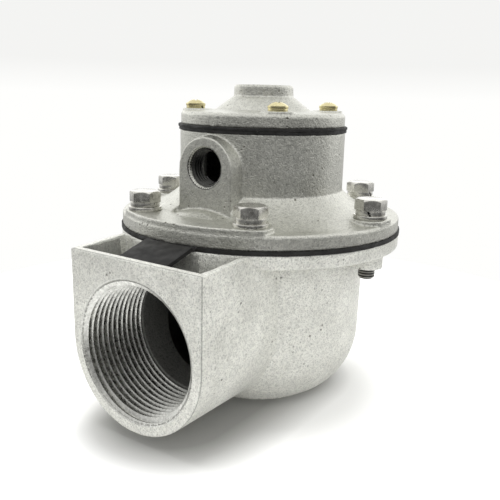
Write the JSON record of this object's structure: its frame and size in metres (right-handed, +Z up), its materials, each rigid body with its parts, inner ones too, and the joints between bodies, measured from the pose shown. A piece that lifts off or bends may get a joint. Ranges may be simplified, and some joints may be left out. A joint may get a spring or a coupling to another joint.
{
  "type": "dust collector pulse valve",
  "caption": "Right-angle die-cast pulse valve with threaded inlet and outlet, two diaphragm stages, a side exhaust port and a remote pilot port on top.",
  "frame": {"origin": "centre of the outlet port's face, which the valve stands on", "axes": "+Z up along the outlet's axis, -Y the way the inlet port faces"},
  "size_m": [0.1088, 0.126, 0.117],
  "materials": {
    "die_cast_aluminium": "satin",
    "black_rubber": "matte",
    "zinc_plated_steel": "satin",
    "yellow_zinc_steel": "satin",
    "stainless_steel": "satin",
    "brass": "satin"
  },
  "bodies": {
    "valve": {"valve_body": "die_cast_aluminium", "main_diaphragm": "black_rubber", "main_spring": "stainless_steel", "bonnet": "die_cast_aluminium", "pilot_diaphragm": "black_rubber", "cover_gasket": "black_rubber", "pilot_spring": "stainless_steel", "top_cover": "die_cast_aluminium", "flange_bolts": "zinc_plated_steel", "flange_spring_washers": "zinc_plated_steel", "flange_flat_washers": "zinc_plated_steel", "cover_screws": "yellow_zinc_steel", "cover_spring_washers": "zinc_plated_steel"},
    "main_disc": {"main_backing_plate": "stainless_steel", "main_retainer_plate": "stainless_steel", "main_centre_screw": "zinc_plated_steel", "main_centre_nut": "zinc_plated_steel", "bleed_eyelet": "brass"},
    "pilot_disc": {"pilot_backing_plate": "stainless_steel", "pilot_retainer_plate": "stainless_steel", "pilot_rivet": "stainless_steel"}
  },
  "joints": [
    {"name": "main_disc_lift", "type": "slide", "parent": "valve", "child": "main_disc", "axis": [0, 0, 1], "range_m": [0, 0.004], "stiffness_N_per_m": 1500, "springref_m": -0.004, "deforming": ["main_diaphragm", "main_spring"]},
    {"name": "pilot_disc_lift", "type": "slide", "parent": "valve", "child": "pilot_disc", "axis": [0, 0, 1], "range_m": [0, 0.002], "stiffness_N_per_m": 600, "springref_m": -0.003, "deforming": ["pilot_diaphragm", "pilot_spring"]}
  ]
}
